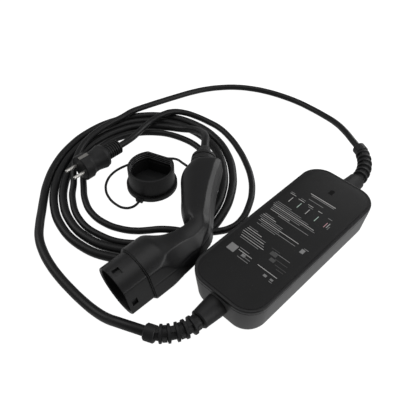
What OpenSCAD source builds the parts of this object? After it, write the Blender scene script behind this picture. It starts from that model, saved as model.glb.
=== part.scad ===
// Portable EV charger: control box, vehicle connector with dust cap, mains plug and two coiled cords.
// Millimetres. Origin under the middle of the control box, +X towards its mains end, +Z up.

/* [Control box] */
// Length of the lid
box_l = 250; // [230:1:280]
// Width of the lid
box_w = 101; // [95:1:125]
// Height of the closed box
box_h = 50; // [48:1:60]
// Plan radius of the box corners
box_corner_r = 28; // [26:1:40]
// Radius of the tub's bottom edge
tub_edge_r = 13; // [8:1:18]
// How far the tub draws in towards its bottom, each side
tub_draft = 3; // [2:0.5:5]
// Wall of tub and lid
box_wall = 2.8; // [2:0.1:3.5]
// Height of the lid
lid_h = 4.6; // [4:0.1:8]
// Radius of the lid's top edge
lid_edge_r = 1.2; // [0.8:0.1:1.6]
// Height of the sealing gap between tub and lid
seal_h = 0.8; // [0.6:0.1:1.2]
// Width of the gasket
seal_w = 2; // [1.5:0.1:2.4]
// Length of the face film
film_l = 242; // [180:1:243]
// Width of the face film
film_w = 93; // [60:1:94]
// Thickness of the face film
film_t = 0.5; // [0.3:0.1:0.8]
// Corner radius of the face film
film_corner_r = 24; // [8:1:25]
// Radius of the housing screws
case_screw_r = 1.7; // [1.4:0.1:2]
// Radius of the screw posts
post_r = 4.4; // [4:0.1:5]

/* [Circuit board] */
// Length of the board
board_l = 190; // [170:1:196]
// Width of the board
board_w = 56; // [50:1:57]
// Thickness of the board
board_t = 1.6; // [1.2:0.1:2]
// Height of the board's pillars above the tub floor
pillar_h = 7; // [5:0.5:9]
// Length of a relay
relay_l = 29; // [24:1:32]
// Width of a relay
relay_w = 12.7; // [10:0.1:14]
// Height of a relay
relay_h = 20; // [14:1:22]
// Outer size of the residual-current sensor
sensor_size = 24; // [22:1:26]
// Radius of the sensor's window
sensor_window_r = 7; // [5:0.5:8]
// Size of the supply transformer
transformer_size = 22; // [18:1:24]
// Radius of a filter capacitor
cap_r = 5; // [4:0.5:5.5]
// Height of a filter capacitor
cap_h = 18; // [12:1:22]
// Radius of the light guide above the indicator lamp
guide_r = 3; // [2:0.5:3.5]
// Height of the indicator lamp
lamp_h = 6; // [4:0.5:8]

/* [Strain reliefs] */
// Radius of the bell where it leaves the box
bell_r = 14; // [13:0.5:15]
// Radius of the bell's outer end
bell_end_r = 12; // [11:0.5:12.5]
// Length of the vehicle-cord bell outside the box
ev_bell_l = 28; // [22:1:32]
// Length of the mains-cord bell outside the box
mains_bell_l = 32; // [24:1:36]
// Radius of the ribs
rib_r = 11.4; // [10.5:0.1:13]
// Radius of the mains-cord ribs
mains_rib_r = 10.8; // [10.2:0.1:12]
// Thickness of a rib at its root
rib_t = 5.6; // [4:0.1:6]
// Radius of the core between the ribs
core_r = 7.6; // [7:0.1:8.6]
// Length of the end collar
collar_l = 13; // [9:0.5:16]
// Distance of the cord exits below the tub's rim
exit_drop = 16.6; // [16:0.1:20]

/* [Vehicle connector] */
// Radius of the housing's round side
housing_r = 35; // [34:0.5:38]
// Distance from the housing's axis to its flat
housing_flat = 28.5; // [27.5:0.5:31]
// Wall of the handle shells
shell_wall = 2.6; // [2:0.1:3]
// Radius of the front shroud
shroud_r = 32; // [31:0.1:32.1]
// Distance from the shroud's axis to its flat
shroud_flat = 25.6; // [24.5:0.1:25.6]
// Wall of the shroud
shroud_wall = 3; // [2.4:0.1:3.2]
// Length of the shroud in front of the housing
shroud_l = 33; // [28:1:38]
// Depth of the shroud inside the housing
spigot_l = 14; // [10:1:16]
// Recess of the contact towers behind the shroud's mouth
tower_recess = 9; // [8:0.5:11]
// Radius of a power contact's bore
power_bore_r = 3; // [2.8:0.1:3.2]
// Radius of a pilot contact's bore
pilot_bore_r = 1.5; // [1.3:0.1:1.7]
// Wall of a contact sleeve
sleeve_wall = 1.2; // [0.9:0.1:1.4]
// Depth of the contact bores
contact_depth = 20; // [18:1:24]
// Distance from the middle contact to its neighbours
contact_pitch = 17; // [16.5:0.1:17.5]
// Radius of the cord gland
gland_r = 19.5; // [18:0.5:21]
// Length of the cord gland
gland_l = 15; // [12:1:18]

/* [Dust cap] */
// Radius of the cap's cup
cup_r = 33; // [32:0.5:36]
// Height of the cap
cup_h = 35; // [32:1:44]
// Wall of the cup
cup_wall = 3; // [2.4:0.1:3.6]
// Radius of the flange at the cap's closed end
cup_flange_r = 36.5; // [35:0.5:40]

/* [Mains plug] */
// Radius of the plug's face
plug_r = 19; // [18:0.5:20]
// Length of the plug from face to tail
plug_l = 44; // [43:1:54]
// Length of the ribbed tail
plug_tail_l = 26; // [24:1:36]
// Radius of a line pin
pin_r = 2.4; // [2:0.05:2.5]
// Length of a line pin
pin_l = 19; // [17:0.5:20]
// Distance between the line pins
pin_pitch = 19; // [18:0.5:20]

/* [Cords] */
// Diameter of the vehicle cord
ev_cord_d = 12; // [10:0.5:13]
// Diameter of the mains cord
mains_cord_d = 9.5; // [8:0.5:10.5]
// Diameter of the cap tether
tether_d = 3.6; // [3:0.2:3.8]
// Inner radius of the coil
coil_in_r = 95; // [93:1:104]
// Outer radius of the coil
coil_out_r = 148; // [140:1:152]
// Height of the coil
coil_h = 13; // [12:0.5:13]

/* [Hidden] */
$fn = 64;
hull_fn = 32;
fit = 0.3;
slip = 0.25;
ev_ribs = 5;
mains_ribs = 6;

// Heights inside the control box
tub_h = box_h - lid_h - seal_h;
exit_z = tub_h - exit_drop;
lid_z = box_h - lid_h;
lid_plate = box_wall + film_t;
floor_z = box_wall;
board_z = floor_z + pillar_h;
board_top = board_z + board_t;
post_x = box_l / 2 - 26;
post_y = box_w / 2 - 17;
pillar_x = board_l / 2 - 6;
pillar_y = board_w / 2 - 6;
screw_head_r = case_screw_r * 2;
screw_head_h = 2.2;
head_z = 1.6;
head_top = head_z + screw_head_h;
screw_top = box_h - lid_plate - 0.6;
post_drop = 9;
lamp_at = [93, 1];
lamp_z = box_h - lid_plate - lamp_h;
terminal_l = 14;
terminal_h = 12;
terminal_x = board_l / 2 - 35;
core_wire_r = 1.6;
core_gap = 8;

// Strain reliefs: where the neck leaves the wall and how the ribbed part bends
neck_in = 12;
flange_t = 3;
ev_bend_r = 55;
ev_bend_deg = 65;
mains_bend_r = 72;
mains_bend_deg = 62;
exit_x = box_l / 2;

// Vehicle connector: place of its mouth, spine of the housing, and the sections along it
mouth = [-194, 91, shroud_r + fit];
connector_turn = [-7.5, -6.5, -4.5];
bend_start = 103;
bend_r = 45;
bend_deg = 46;
handle_l = 122;
bend_l = bend_r * bend_deg * PI / 180;
shell_end = bend_start + bend_l + handle_l;
half_steps = 20;
// Each section: distance along the spine, reach left, reach to the back flat, half thickness, squareness, chamfer
sections = [
    [shroud_l + 0.6, housing_r, housing_flat, housing_r, 2, 60],
    [shroud_l + spigot_l + 1, housing_r, housing_flat, housing_r, 2, 60],
    [64, housing_r, housing_flat - 1, housing_r - 1.5, 2, 60],
    [78, housing_r - 4, housing_flat - 2, housing_r - 4, 2.1, 42],
    [90, 26, 25.5, 28.5, 2.2, 34],
    [bend_start, 23.5, 24, 26.5, 2.2, 29],
    [bend_start + bend_l * 0.5, 24, 20.5, 24.5, 2.3, 24.5],
    [bend_start + bend_l, 24, 18, 23, 2.4, 22],
    [bend_start + bend_l + 24, 23.5, 17.5, 22, 2.4, 21],
    [bend_start + bend_l + 48, 25, 18.5, 21.5, 2.4, 21.5],
    [bend_start + bend_l + 68, 27.5, 20.5, 21.5, 2.4, 22.5],
    [bend_start + bend_l + 86, 27.5, 22.5, 21.5, 2.4, 23],
    [bend_start + bend_l + 103, 24, 23, 21, 2.3, 22.5],
    [bend_start + bend_l + 115, 20, 21, 19, 2.1, 20],
    [shell_end, 17, 18, 17, 2, 18]];

tower_x = tower_recess;
carrier_x = tower_recess + contact_depth + 3;
carrier_t = 6;
power_sleeve_r = power_bore_r + sleeve_wall;
pilot_sleeve_r = pilot_bore_r + sleeve_wall;
power_tower_r = power_sleeve_r + slip + 1.8;
pilot_tower_r = pilot_sleeve_r + slip + 1.6;
contact_tail = 8;
// Contact places in the mouth, as [away from the flat, up]
power_places = [[0, 0], [0, contact_pitch], [0, -contact_pitch]];
spare_places = [[15.5, 9], [15.5, -9]];
pilot_places = [[-14.5, 9.5], [-14.5, -9.5]];

// Dust cap and its tether
cup_place = [-28, 219];
cup_flat = cup_r - 6;
cup_yaw = 200;
cup_floor = 4;
cup_flange_t = 6;
lug_deg = 201;
lug_l = 6;
lug_w = 10;
lug_h = 5;
lug_from = cup_flange_r - 2;

// Mains plug: the middle of its face; the pins point to -X
plug_face = [-97, 291, plug_r + mains_cord_d + fit];
plug_tail_r = 8.2;
plug_ribs = 6;
insert_t = 3;
insert_r = plug_r - 3;
shank_r = pin_r - 0.5;
shank_l = insert_t + 0.5;
pin_tip = 1.2;
earth_w = 6;
earth_t = 1.2;

// Radius inside the core where a rib's flanks start
rib_root_r = core_r - 2;

// Lock windows of the connector's shroud
window_x = 4.8;
window_l = 8.6;
window_w = 8.4;

// Coil and the leads that join it, as [angle, radius, lead length, height at the coil, height at the lead's end]
coil_c = [-35, 231];
ev_in = [15, 122, 24, 8, 21];
ev_out = [140, 141, 76, 6.5, 6.5];
mains_in = [75, 143, 78, 5, 5];
mains_out = [265, 143, 78, 5, 5];

function polar(deg) = [cos(deg), sin(deg)];
function coil_point(lead) = [each (coil_c + lead[1] * polar(lead[0])), lead[3]];
function lead_end(lead, way) =
    [each (coil_c + lead[1] * polar(lead[0]) + way * lead[2] * polar(lead[0] + 90)), lead[4]];
function toward(a, b, d) = a + d * (b - a) / norm(b - a);

// Where the ribbed ends and the gland let the cords out, and their directions
ev_exit = [-exit_x - ev_bell_l - ev_bend_r * sin(ev_bend_deg), ev_bend_r * (1 - cos(ev_bend_deg)), exit_z];
ev_exit_dir = [each polar(180 - ev_bend_deg), 0];
mains_exit = [exit_x + mains_bell_l + mains_bend_r * sin(mains_bend_deg),
    mains_bend_r * (1 - cos(mains_bend_deg)), exit_z];
mains_exit_dir = [each polar(mains_bend_deg), 0];
gland_at = placed([each spine(shell_end), 0]);
handle_dir = (placed([each spine(shell_end + gland_l), 0]) - gland_at) / gland_l;
gland_exit = gland_at + gland_l * handle_dir;
lug_end = [each (cup_place + (lug_from + lug_l) * polar(lug_deg)), lug_h / 2];
grip_side = placed(section_point(sections[12], 0, -1));
plug_exit = plug_face + [plug_l + plug_tail_l, 0, 0];

// Routes of the cords, on the floor where nothing carries them
ev_lead_route = [gland_exit, gland_exit + 14 * handle_dir, [73, 207, 41], [87, 219, 35],
    toward(lead_end(ev_in, -1), coil_point(ev_in), -11), lead_end(ev_in, -1)];
ev_tail_route = [lead_end(ev_out, 1), toward(lead_end(ev_out, 1), coil_point(ev_out), -16),
    [-211, 222, 6.5], [-217, 197, 6.5], [-220, 172, 6.5], [-221, 147, 6.5], [-221, 122, 7], [-220, 100, 10],
    [-218, 80, 16], [-214, 62, 23], ev_exit + 14 * ev_exit_dir, ev_exit];
mains_lead_route = [mains_exit, mains_exit + 18 * mains_exit_dir, [243, 76, 25], [258, 102, 19], [269, 130, 12],
    [276, 160, 7], [278, 189, 5], [274, 217, 5], [266, 245, 5], [254, 271, 5], [238, 294, 5], [219, 312, 5],
    [197, 327, 5], [171, 338, 5], [141, 344, 5],
    toward(lead_end(mains_in, -1), coil_point(mains_in), -18), lead_end(mains_in, -1)];
mains_tail_route = [lead_end(mains_out, 1), toward(lead_end(mains_out, 1), coil_point(mains_out), -14),
    [62, 101, 5], [84, 125, 5], [104, 153, 5], [120, 181, 5], [130, 209, 5], [134, 236, 5], [132, 261, 5],
    [125, 283, 7], [111, 302, 15], [91, 314, 24], [66, 317, 27], [42, 313, 27], [20, 304, 28], [3, 295, 29],
    plug_exit + [14, 0, 0], plug_exit];
tether_route = [lug_end, lug_end + [each 6 * polar(lug_deg), 0], [-80, 203, 2.2], [-88, 209, 2.2], [-92, 224, 2.2], [-90, 242, 2.2], [-83, 257, 2.2],
    [-71, 269, 2.2], [-55, 276, 2.2], [-37, 276, 2.6], [-18, 269, 4], [-2, 258, 7], [9, 243, 12], [13, 227, 19],
    [13, 210, 28], grip_side + [3, 11, -4], grip_side];

// A point of the connector's own frame, put where the connector lies: rolled, pitched, then turned
function turn(a, b, deg) = [a * cos(deg) - b * sin(deg), a * sin(deg) + b * cos(deg)];
function rolled(p) = [p[0], each turn(p[1], p[2], connector_turn[0])];
function pitched(p) = let (q = turn(p[2], p[0], connector_turn[1])) [q[1], p[1], q[0]];
function placed(p) = let (q = pitched(rolled(p))) mouth + [each turn(q[0], q[1], connector_turn[2]), q[2]];

// Spine of the connector's housing: straight, one bend to the left, straight
function spine_deg(s) = s <= bend_start ? 0 : s >= bend_start + bend_l ? bend_deg : (s - bend_start) / bend_r * 180 / PI;
function spine(s) = s <= bend_start ? [s, 0]
    : s <= bend_start + bend_l
        ? [bend_start + bend_r * sin(spine_deg(s)), bend_r * (1 - cos(spine_deg(s)))]
        : spine(bend_start + bend_l) + (s - bend_start - bend_l) * polar(bend_deg);

// Radius of a section at angle t: a squared oval cut by a back flat and two chamfers
function oval(t, a, b, n) = pow(pow(abs(cos(t)) / a, n) + pow(abs(sin(t)) / b, n), -1 / n);
function cut(t, deg, d) = cos(t - deg) > 0.01 ? d / cos(t - deg) : 1000;
function section_r(t, q, inset) = min(
    oval(t, cos(t) > 0 ? q[1] - inset : max(q[1], q[2]) - inset, q[3] - inset, q[4]),
    cut(t, 180, q[2] - inset), cut(t, 135, q[5] - inset), cut(t, 225, q[5] - inset));
function section_point(q, t, inset) =
    [each (spine(q[0]) + section_r(t, q, inset) * cos(t) * polar(spine_deg(q[0]) + 90)),
    section_r(t, q, inset) * sin(t)];
function half_ring(q, side) = concat(
    [for (i = [0:half_steps]) section_point(q, side * 180 * i / half_steps, 0)],
    [for (i = [half_steps:-1:0]) section_point(q, side * 180 * i / half_steps, shell_wall)]);

// Closed skin over rings of equal count, with strips between the two edges of each end
module shell_loft(rings, flip) {
    n = len(rings[0]);
    h = n / 2;
    m = len(rings);
    skin = [for (i = [0:m - 2], j = [0:n - 1]) let (a = i * n + j, b = i * n + (j + 1) % n) each
        [[a, b, b + n], [a, b + n, a + n]]];
    front = [for (j = [0:h - 2]) each [[j, n - 1 - j, n - 2 - j], [j, n - 2 - j, j + 1]]];
    back = [for (f = front) [f[0] + (m - 1) * n, f[2] + (m - 1) * n, f[1] + (m - 1) * n]];
    faces = concat(skin, front, back);
    polyhedron(points = [for (r = rings) each r],
        faces = flip ? [for (f = faces) [f[0], f[2], f[1]]] : faces, convexity = 6);
}

// Round tube swept along a route
function route_dir(p, i) = let (a = p[max(i - 1, 0)], b = p[min(i + 1, len(p) - 1)])
    i == 0 ? unit(p[1] - p[0]) : i == len(p) - 1 ? unit(p[i] - p[i - 1]) : unit(unit(p[i] - a) + unit(b - p[i]));
function unit(v) = v / norm(v);
module tube(route, d, sides) {
    m = len(route);
    points = [for (i = [0:m - 1]) let (t = route_dir(route, i), s = unit(cross(t, [0, 0, 1])), u = cross(s, t))
        for (k = [0:sides - 1]) route[i] + d / 2 * (cos(360 * k / sides) * s + sin(360 * k / sides) * u)];
    walls = [for (i = [0:m - 2], k = [0:sides - 1])
        let (a = i * sides + k, b = i * sides + (k + 1) % sides) each [[a, b, b + sides], [a, b + sides, a + sides]]];
    polyhedron(points = points, convexity = 6, faces = concat(walls,
        [[for (k = [sides - 1:-1:0]) k]], [[for (k = [0:sides - 1]) (m - 1) * sides + k]]));
}

// Rounded rectangle with exact corners
module plate_2d(l, w, r) {
    square([l - 2 * r, w], center = true);
    square([l, w - 2 * r], center = true);
    for (x = [-1, 1], y = [-1, 1]) translate([x * (l / 2 - r), y * (w / 2 - r)]) circle(r);
}

// D outline: a circle cut by a flat on its -X side
module d_2d(r, flat) {
    intersection() {
        circle(r);
        translate([-flat, -r]) square([flat + r, 2 * r]);
    }
}

// Four turned corners drawn together into a case body
module case_body(l, w, r, profile) {
    hull() for (x = [-1, 1], y = [-1, 1]) translate([x * (l / 2 - r), y * (w / 2 - r), 0])
        rotate_extrude($fn = hull_fn) polygon(profile);
}

// Upright profile of a tub corner: flat bottom, round edge, drafted side
function tub_profile(r, h, draft, edge, z) = concat([[0, z]],
    [for (a = [-90:15:0]) [max(r - draft - edge, 0.5) + edge * cos(a), z + edge + edge * sin(a)]],
    [[r, h], [0, h]]);

// Box frame helpers
module along_x() { rotate([90, 0, 90]) children(); }
module at_posts() { for (x = [-1, 1], y = [-1, 1]) translate([x * post_x, y * post_y, 0]) children(); }
module at_pillars() { for (x = [-1, 1], y = [-1, 1]) translate([x * pillar_x, y * pillar_y, 0]) children(); }
module in_connector() { translate(mouth) rotate(connector_turn) children(); }
module at_plug() { translate(plug_face) children(); }

module box_tub() {
    inner_r = box_corner_r - box_wall;
    inner_edge = tub_edge_r - box_wall;
    color("dimgray") {
        difference() {
            case_body(box_l, box_w, box_corner_r, tub_profile(box_corner_r, tub_h, tub_draft, tub_edge_r, 0));
            case_body(box_l - 2 * box_wall, box_w - 2 * box_wall, inner_r,
                tub_profile(inner_r, tub_h + 1, tub_draft, inner_edge, floor_z));
            for (side = [-1, 1]) translate([side * (exit_x - neck_in), 0, exit_z]) rotate([0, side * 90, 0])
                cylinder(r = bell_r + fit, h = neck_in + 2);
            at_posts() translate([0, 0, -1]) cylinder(r = screw_head_r + fit, h = head_top + 1);
        }
        at_posts() difference() {
            translate([0, 0, screw_head_h]) cylinder(r = post_r, h = lid_z - post_drop - fit - screw_head_h);
            cylinder(r = case_screw_r + slip, h = box_h);
            translate([0, 0, -1]) cylinder(r = screw_head_r + fit, h = head_top + 1);
        }
        at_pillars() translate([0, 0, floor_z - 1]) cylinder(r = 3, h = pillar_h + 1);
    }
}

module box_lid() {
    color("black") difference() {
        union() {
            difference() {
                translate([0, 0, lid_z]) case_body(box_l, box_w, box_corner_r, concat([[0, 0], [box_corner_r, 0]],
                    [for (a = [0:30:90]) [box_corner_r - lid_edge_r + lid_edge_r * cos(a),
                        lid_h - lid_edge_r + lid_edge_r * sin(a)]], [[0, lid_h]]));
                translate([0, 0, lid_z - 1]) linear_extrude(lid_h - lid_plate + 1)
                    plate_2d(box_l - 2 * box_wall, box_w - 2 * box_wall, box_corner_r - box_wall);
            }
            at_posts() translate([0, 0, lid_z - post_drop]) cylinder(r = post_r, h = post_drop + lid_h - lid_plate + 0.5);
        }
        at_posts() translate([0, 0, lid_z - post_drop - 1])
            cylinder(r = case_screw_r, h = screw_top - lid_z + post_drop + 1 + slip);
        translate([0, 0, box_h - film_t]) linear_extrude(1) plate_2d(film_l, film_w, film_corner_r);
        translate([lamp_at[0], lamp_at[1], lid_z]) cylinder(r = guide_r + slip, h = lid_h + 1);
    }
}

module face_film() {
    color("black") difference() {
        translate([0, 0, box_h - film_t]) linear_extrude(film_t) plate_2d(film_l - fit, film_w - fit, film_corner_r);
        translate([lamp_at[0], lamp_at[1], lid_z]) cylinder(r = guide_r + slip, h = lid_h + 1);
    }
}

module lid_gasket() {
    inset = 0.6;
    color("dimgray") translate([0, 0, tub_h]) linear_extrude(seal_h) difference() {
        plate_2d(box_l - 2 * inset, box_w - 2 * inset, box_corner_r - inset);
        plate_2d(box_l - 2 * (inset + seal_w), box_w - 2 * (inset + seal_w), box_corner_r - inset - seal_w);
    }
}

module housing_screws() {
    color("silver") at_posts() {
        translate([0, 0, head_z]) cylinder(r = screw_head_r, h = screw_head_h);
        translate([0, 0, head_z]) cylinder(r = case_screw_r - 0.05, h = screw_top - head_z);
    }
}

module circuit_board() {
    color("darkgreen") translate([0, 0, board_z]) linear_extrude(board_t) difference() {
        plate_2d(board_l, board_w, 3);
        at_pillars() circle(1.6);
    }
}

module power_relays() {
    color("royalblue") for (y = [-1, 1]) translate([-14, y * 11, board_top]) difference() {
        translate([-relay_l / 2, -relay_w / 2, 0]) cube([relay_l, relay_w, relay_h]);
        translate([-relay_l / 2 - 1, y * relay_w / 2 - 1, relay_h - 1]) cube([relay_l + 2, 2, 2]);
    }
}

module leakage_sensor() {
    color("gold") translate([-38, 0, board_top]) difference() {
        translate([-5, -sensor_size / 2, 0]) cube([10, sensor_size, sensor_size]);
        translate([-6, 0, sensor_size / 2]) rotate([0, 90, 0]) cylinder(r = sensor_window_r, h = 12);
    }
}

module supply_transformer() {
    core = transformer_size * 0.6;
    color("orange") translate([24, -12, board_top]) {
        translate([-transformer_size / 2, -core / 2, 0]) cube([transformer_size, core, transformer_size]);
        translate([-core / 2, -transformer_size / 2, 4]) cube([core, transformer_size, transformer_size - 8]);
    }
}

module filter_capacitors() {
    color("darkslateblue") for (i = [0:2]) translate([16 + i * (2 * cap_r + 3), 14, board_top])
        cylinder(r = cap_r, h = cap_h);
}

module surge_absorbers() {
    color("steelblue") for (i = [0, 1]) translate([42 + 7 * i, -6, board_top + 6.5]) {
        rotate([0, 90, 0]) cylinder(r = 6, h = 4, center = true);
        translate([-1, -3, -6.5]) cube([2, 6, 3]);
    }
}

// Screw terminal strip; the wire holes face the way given
module terminal_strip(ways, side) {
    w = ways * core_gap + 2;
    color("seagreen") translate([side * terminal_x, 0, board_top]) difference() {
        translate([-terminal_l / 2, -w / 2, 0]) cube([terminal_l, w, terminal_h]);
        for (i = [0:ways - 1]) translate([0, (i - (ways - 1) / 2) * core_gap, 0]) {
            translate([0, 0, terminal_h / 2]) rotate([0, side * 90, 0]) cylinder(r = core_wire_r + slip, h = terminal_l);
            translate([0, 0, terminal_h / 2]) cylinder(r = 2, h = terminal_h);
        }
    }
}
module vehicle_terminals() { terminal_strip(4, -1); }
module mains_terminals() { terminal_strip(3, 1); }

// Bared cores from the cord's end into their terminals
module cores(ways, side) {
    from = exit_x - neck_in - flange_t;
    to = terminal_x + 1;
    z = board_top + terminal_h / 2;
    for (i = [0:ways - 1]) color(["brown", "royalblue", "gold", "black"][i]) {
        y = (i - (ways - 1) / 2) * core_gap;
        y_in = (i - (ways - 1) / 2) * (2 * core_wire_r + 0.6);
        tube([[side * from, y_in, exit_z], [side * (from - 7), y_in, exit_z],
            [side * (to + 16), y, z], [side * to, y, z]], 2 * core_wire_r, 8);
    }
}
module vehicle_cores() { cores(4, -1); }
module mains_cores() { cores(3, 1); }

// Lamp held under the lid, with the light guide above it
module indicator_lamp() {
    color("limegreen") translate([lamp_at[0], lamp_at[1], lamp_z]) {
        cylinder(r = guide_r + 1, h = lamp_h);
        translate([0, 0, lamp_h - 1]) cylinder(r = guide_r + 3, h = 1);
    }
}

module light_guide() {
    color("white") translate([lamp_at[0], lamp_at[1], lamp_z + lamp_h]) cylinder(r = guide_r, h = lid_plate);
}

// One rib of a strain relief: a ring that narrows outwards
module rib(r) {
    rotate_extrude() polygon([[0, -rib_t / 2], [rib_root_r, -rib_t / 2], [r, -rib_t / 4], [r, rib_t / 4],
        [rib_root_r, rib_t / 2], [0, rib_t / 2]]);
}

// Strain relief along +X that bends to the left: inner flange, neck, bell, ribs with crossed bridges, end collar
module strain_relief(bell_l, bend_radius, bend, ribs, outer_r) {
    collar_deg = collar_l / bend_radius * 180 / PI;
    pitch = (bend - collar_deg) / (ribs + 0.5);
    gap_l = pitch * PI / 180 * bend_radius - rib_t;
    bridge = outer_r * 1.5;
    lap = 2;
    translate([-neck_in, 0, 0]) rotate([0, 90, 0]) rotate_extrude() polygon([[0, -flange_t],
        [bell_r + 1, -flange_t], [bell_r + 1, 0], [bell_r, 0], [bell_r, neck_in + 4],
        [bell_end_r, neck_in + bell_l - 4], [bell_end_r, neck_in + bell_l - 1.5],
        [bell_end_r - 1.5, neck_in + bell_l], [0, neck_in + bell_l]]);
    translate([bell_l, bend_radius, 0]) rotate([0, 0, -90]) {
        rotate([0, 0, -lap]) rotate_extrude(angle = bend) translate([bend_radius, 0]) circle(core_r);
        for (i = [1:ribs]) rotate([0, 0, i * pitch]) translate([bend_radius, 0, 0]) rotate([-90, 0, 0])
            rib(outer_r - 0.15 * i);
        for (i = [0:ribs]) rotate([0, 0, (i + 0.5) * pitch]) translate([bend_radius, 0, 0])
            cube(i % 2 == 0 ? [bridge, gap_l + 2, core_r] : [core_r, gap_l + 2, bridge], center = true);
        rotate([0, 0, bend]) translate([bend_radius, 0, 0]) rotate([90, 0, 0]) rotate_extrude() polygon([[0, 0],
            [outer_r - 3, 0], [outer_r - 1.5, 1.5], [outer_r - 1.5, collar_l - 1], [outer_r - 2.5, collar_l],
            [0, collar_l]]);
    }
}

module vehicle_strain_relief() {
    color("black") mirror([1, 0, 0]) translate([exit_x, 0, exit_z])
        strain_relief(ev_bell_l, ev_bend_r, ev_bend_deg, ev_ribs, rib_r);
}

module mains_strain_relief() {
    color("black") translate([exit_x, 0, exit_z])
        strain_relief(mains_bell_l, mains_bend_r, mains_bend_deg, mains_ribs, mains_rib_r);
}

// D-shaped front shroud with its lock windows
module connector_shroud() {
    color("black") in_connector() difference() {
        along_x() linear_extrude(shroud_l + spigot_l) d_2d(shroud_r, shroud_flat);
        translate([-1, 0, 0]) along_x() linear_extrude(shroud_l + spigot_l + 2)
            d_2d(shroud_r - shroud_wall, shroud_flat - shroud_wall);
        translate([window_x, -shroud_flat - 1, -window_w]) cube([window_l, shroud_wall + 2, window_w]);
        translate([window_x, -window_w, shroud_r - 2 * shroud_wall]) cube([window_l, window_w, 3 * shroud_wall]);
    }
}

module shroud_seal() {
    color("dimgray") in_connector() translate([shroud_l - 1, 0, 0]) along_x() linear_extrude(1.6) difference() {
        d_2d(shroud_r + 1.8, shroud_flat + 1.8);
        d_2d(shroud_r + fit, shroud_flat + fit);
    }
}

// Plate behind the contacts with one hollow tower for each place
module contact_carrier() {
    color("dimgray") in_connector() difference() {
        union() {
            translate([carrier_x, 0, 0]) along_x() linear_extrude(carrier_t)
                d_2d(shroud_r - shroud_wall - slip, shroud_flat - shroud_wall - slip);
            for (p = concat(power_places, spare_places)) translate([tower_x, p[0], p[1]]) along_x()
                cylinder(r = power_tower_r, h = carrier_x - tower_x + 1);
            for (p = pilot_places) translate([tower_x, p[0], p[1]]) along_x()
                cylinder(r = pilot_tower_r, h = carrier_x - tower_x + 1);
        }
        for (p = power_places) translate([tower_x - 1, p[0], p[1]]) along_x()
            cylinder(r = power_sleeve_r + slip, h = carrier_x + carrier_t);
        for (p = spare_places) translate([tower_x - 1, p[0], p[1]]) along_x()
            cylinder(r = power_sleeve_r + slip, h = contact_depth);
        for (p = pilot_places) translate([tower_x - 1, p[0], p[1]]) along_x()
            cylinder(r = pilot_sleeve_r + slip, h = carrier_x + carrier_t);
    }
}

// Sleeve contact: bored front, collar on the back of the carrier, solder tail
module sleeve(bore, r) {
    difference() {
        cylinder(r = r, h = carrier_x + carrier_t - tower_x);
        translate([0, 0, -1]) cylinder(r = bore, h = contact_depth + 1);
    }
    translate([0, 0, carrier_x + carrier_t - tower_x]) {
        cylinder(r = r + 1, h = 1.6);
        cylinder(r = bore, h = contact_tail);
    }
}

module power_contacts() {
    color("silver") in_connector() for (p = power_places) translate([tower_x, p[0], p[1]]) along_x()
        sleeve(power_bore_r, power_sleeve_r);
}

module pilot_contacts() {
    color("silver") in_connector() for (p = pilot_places) translate([tower_x, p[0], p[1]]) along_x()
        sleeve(pilot_bore_r, pilot_sleeve_r);
}

module handle_shell_upper() {
    color("black") in_connector() shell_loft([for (q = sections) half_ring(q, 1)], false);
}

module handle_shell_lower() {
    color("black") in_connector() shell_loft([for (q = sections) half_ring(q, -1)], true);
}

// Cores in the handle, from the contacts' tails to the gland
module handle_cores() {
    from = carrier_x + carrier_t + contact_tail + fit;
    ends = concat(power_places, pilot_places);
    in_connector() for (i = [0:len(ends) - 1]) color(["gold", "royalblue", "brown", "white", "black"][i])
        tube([[from, ends[i][0], ends[i][1]], [from + 8, ends[i][0], ends[i][1]],
            [each (spine(bend_start + 5) + [0, (i - 2) * 4]), ends[i][1] * 0.4],
            [each (spine(bend_start + bend_l / 2) + (i - 2) * 4 * polar(bend_deg / 2 + 90)), 0],
            [each (spine(bend_start + bend_l + 20) + (i - 2) * 4 * polar(bend_deg + 90)), 0],
            [each (spine(shell_end - 15) + (i - 2) * 3.6 * polar(bend_deg + 90)), 0]], 3.2, 8);
}

// Small board that carries the coding resistor, standing against the back of the carrier's flat side
module coding_board() {
    x = carrier_x + carrier_t;
    color("darkgreen") in_connector() translate([x, -shroud_flat + shroud_wall + 1.2, -7]) {
        cube([14, 1.2, 14]);
        translate([4, 1.2, 4]) cube([6, 2, 4]);
    }
}

// Round gland nut with a rolled edge, bored for the cord
module cord_gland() {
    color("black") in_connector() translate([each spine(shell_end), 0]) rotate([0, 90, bend_deg]) {
        translate([0, 0, -14]) cylinder(r = 13, h = 15);
        rotate_extrude() polygon(concat([[0, 0], [gland_r - 2.5, 0]],
            [for (a = [-60:15:60]) [gland_r - 4.5 + 4.5 * cos(a), 5.2 + 4.5 * sin(a)]],
            [[ev_cord_d / 2 + 5, gland_l - 3], [ev_cord_d / 2 + 3, gland_l], [0, gland_l]]));
    }
}

module dust_cap() {
    color("black") translate(cup_place) {
        rotate([0, 0, cup_yaw]) difference() {
            union() {
                linear_extrude(cup_h) d_2d(cup_r, cup_flat);
                linear_extrude(cup_flange_t) d_2d(cup_flange_r, cup_flat + 3);
            }
            translate([0, 0, cup_floor]) linear_extrude(cup_h) d_2d(cup_r - cup_wall - 1.5, cup_flat - cup_wall - 1.5);
            translate([0, 0, cup_h - 14]) linear_extrude(cup_h) d_2d(cup_r - cup_wall, cup_flat - cup_wall);
        }
        rotate([0, 0, lug_deg]) translate([lug_from, -lug_w / 2, 0]) cube([lug_l, lug_w, lug_h]);
    }
}

module cap_tether() { color("black") tube(tether_route, tether_d, 8); }

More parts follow.
